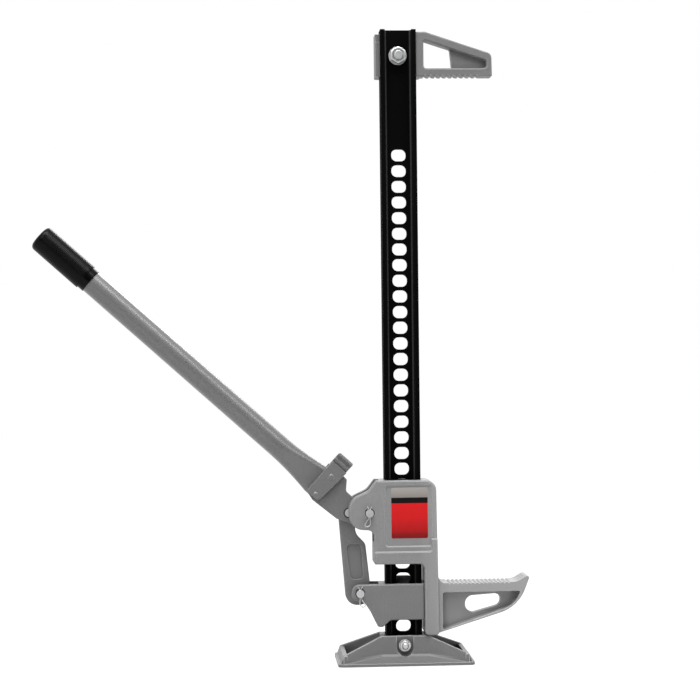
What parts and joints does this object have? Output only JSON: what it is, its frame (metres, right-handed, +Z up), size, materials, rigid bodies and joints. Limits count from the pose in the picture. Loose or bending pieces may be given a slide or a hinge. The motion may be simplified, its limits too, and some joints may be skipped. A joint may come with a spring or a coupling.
{
  "type": "high-lift jack",
  "caption": "High-lift rack jack: punched I-section bar on a pressed foot, climbing runners with spring-back pins, toothed lifting nose, pump handle and a clamp jaw at the top.",
  "frame": {"origin": "on the floor, under the middle of the bar, at the underside of the foot", "axes": "+Z up along the bar, +X towards the lifting nose, +Y towards the climbing pins; the face shown in the picture looks along -Y"},
  "size_m": [0.6468, 0.1245, 0.832],
  "materials": {
    "bar_black": "satin black paint",
    "cast_grey": "satin grey paint over a fine cast grain",
    "tube_grey": "satin grey paint",
    "grip_black": "matt with fine ribs",
    "zinc_steel": "bright zinc plate",
    "spring_steel": "drawn spring wire"
  },
  "bodies": {
    "bar": {"standard_bar": "bar_black", "base_plate": "cast_grey", "base_bolt": "zinc_steel", "base_washer": "zinc_steel", "base_nut": "zinc_steel", "top_clamp": "cast_grey", "clamp_bolt": "zinc_steel", "clamp_washer": "zinc_steel", "clamp_nut": "zinc_steel"},
    "large_runner": {"large_runner": "cast_grey", "handle_pivot_pin": "zinc_steel", "handle_pivot_cotter": "zinc_steel", "latch_pin": "zinc_steel", "upper_pin_spring": "spring_steel"},
    "handle": {"handle_tube": "tube_grey", "handle_grip": "grip_black", "handle_socket": "cast_grey", "lower_rivet": "tube_grey", "upper_rivet": "tube_grey", "crank_pin": "zinc_steel"},
    "pitman_link": {"pitman_link": "cast_grey"},
    "small_runner": {"small_runner": "cast_grey", "link_foot_pin": "zinc_steel", "link_foot_cotter": "zinc_steel", "lower_pin_spring": "spring_steel"},
    "upper_climbing_pin": {"upper_climbing_pin": "zinc_steel", "upper_cross_pin": "zinc_steel"},
    "lower_climbing_pin": {"lower_climbing_pin": "zinc_steel", "lower_cross_pin": "zinc_steel"},
    "reversing_latch": {"reversing_latch": "cast_grey"}
  },
  "joints": [
    {"name": "runner_lift", "type": "slide", "parent": "bar", "child": "large_runner", "axis": [0, 0, 1], "range_m": [0, 0.4761]},
    {"name": "handle_pump", "type": "hinge", "parent": "large_runner", "child": "handle", "pos_m": [-0.0449, 0, 0.1967], "axis": [0, 1, 0], "range_deg": [-24, 48]},
    {"name": "small_runner_slide", "type": "slide", "parent": "large_runner", "child": "small_runner", "axis": [0, 0, 1], "range_m": [-0.0098, 0.0195]},
    {"name": "pitman_swing", "type": "hinge", "parent": "handle", "child": "pitman_link", "pos_m": [-0.0714, 0, 0.1967], "axis": [0, 1, 0], "range_deg": [-46, 23]},
    {"name": "upper_pin_slide", "type": "slide", "parent": "large_runner", "child": "upper_climbing_pin", "axis": [0, -1, 0], "range_m": [0, 0.014], "stiffness_N_per_m": 500, "springref_m": -0.004, "deforming": ["upper_pin_spring"]},
    {"name": "lower_pin_slide", "type": "slide", "parent": "small_runner", "child": "lower_climbing_pin", "axis": [0, -1, 0], "range_m": [0, 0.014], "stiffness_N_per_m": 500, "springref_m": -0.004, "deforming": ["lower_pin_spring"]},
    {"name": "latch_flip", "type": "hinge", "parent": "large_runner", "child": "reversing_latch", "pos_m": [0, 0.0325, 0.228], "axis": [1, 0, 0], "range_deg": [0, 25]}
  ],
  "couplings": [
    {"joint": "small_runner_slide", "follows": "handle_pump", "m_per_rad": 0.02316},
    {"joint": "pitman_swing", "follows": "handle_pump", "ratio": -0.9511}
  ]
}
